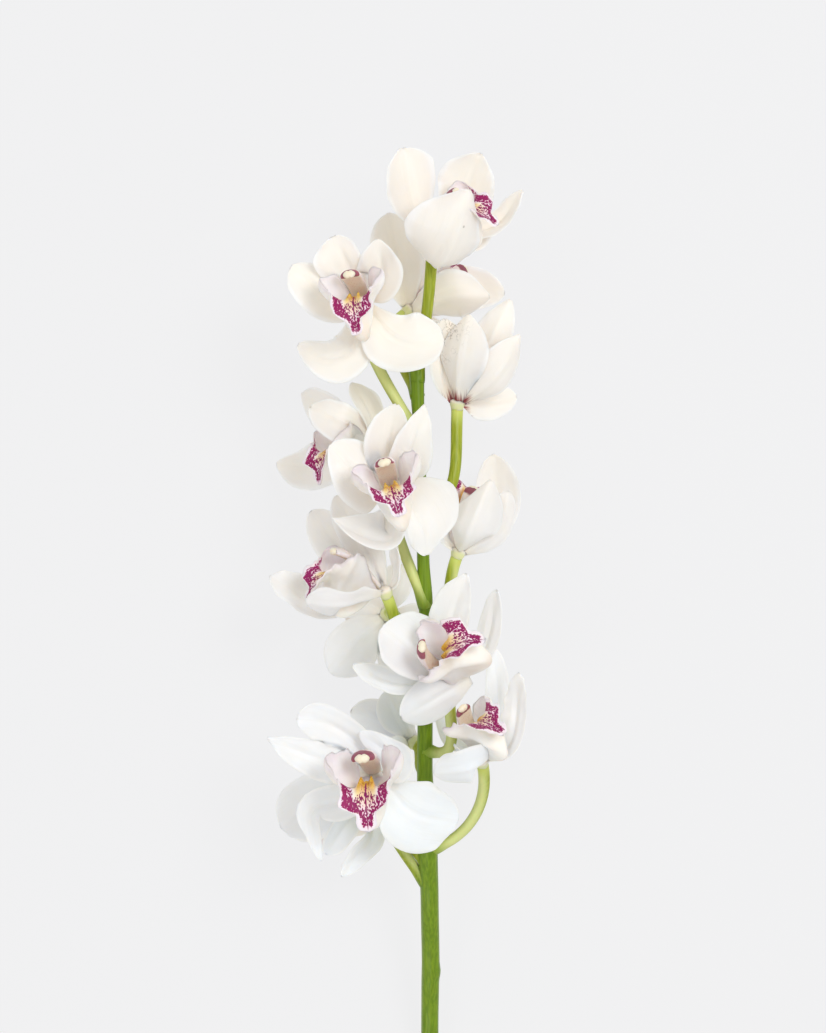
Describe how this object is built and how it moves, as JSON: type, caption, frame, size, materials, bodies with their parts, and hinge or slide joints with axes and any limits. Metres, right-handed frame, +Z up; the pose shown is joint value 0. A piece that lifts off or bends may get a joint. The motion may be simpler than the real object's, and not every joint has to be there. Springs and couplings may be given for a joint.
{
  "type": "orchid stem",
  "caption": "Cut cymbidium orchid stem lying flat: a green stem with white waxy blooms on curved stalks, each with a purple-marked lip",
  "frame": {"origin": "the middle of the bounding box, at the surface the stem lies on", "axes": "+Y runs along the stem from its cut end to the youngest bloom, +Z is up from the surface"},
  "size_m": [0.1404, 0.5984, 0.1399],
  "materials": {
    "tepal": "satin, waxy",
    "lip": "satin, waxy",
    "column": "satin, waxy",
    "stem": "satin"
  },
  "bodies": {
    "root": {"bloom_01_tepals": "tepal", "bloom_01_lip": "lip", "bloom_01_column": "column", "bloom_02_tepals": "tepal", "bloom_02_lip": "lip", "bloom_02_column": "column", "bloom_03_tepals": "tepal", "bloom_03_lip": "lip", "bloom_03_column": "column", "bloom_04_tepals": "tepal", "bloom_04_lip": "lip", "bloom_04_column": "column", "bloom_05_tepals": "tepal", "bloom_05_lip": "lip", "bloom_05_column": "column", "bloom_06_tepals": "tepal", "bloom_06_lip": "lip", "bloom_06_column": "column", "bloom_07_tepals": "tepal", "bloom_07_lip": "lip", "bloom_07_column": "column", "bloom_08_tepals": "tepal", "bloom_08_lip": "lip", "bloom_08_column": "column", "bloom_09_tepals": "tepal", "bloom_09_lip": "lip", "bloom_09_column": "column", "bloom_10_tepals": "tepal", "bloom_10_lip": "lip", "bloom_10_column": "column", "bloom_11_tepals": "tepal", "bloom_11_lip": "lip", "bloom_11_column": "column", "bloom_12_tepals": "tepal", "bloom_12_lip": "lip", "bloom_12_column": "column", "bloom_13_tepals": "tepal", "bloom_13_lip": "lip", "bloom_13_column": "column", "bloom_14_tepals": "tepal", "bloom_14_lip": "lip", "bloom_14_column": "column", "stem": "stem"}
  },
  "joints": []
}
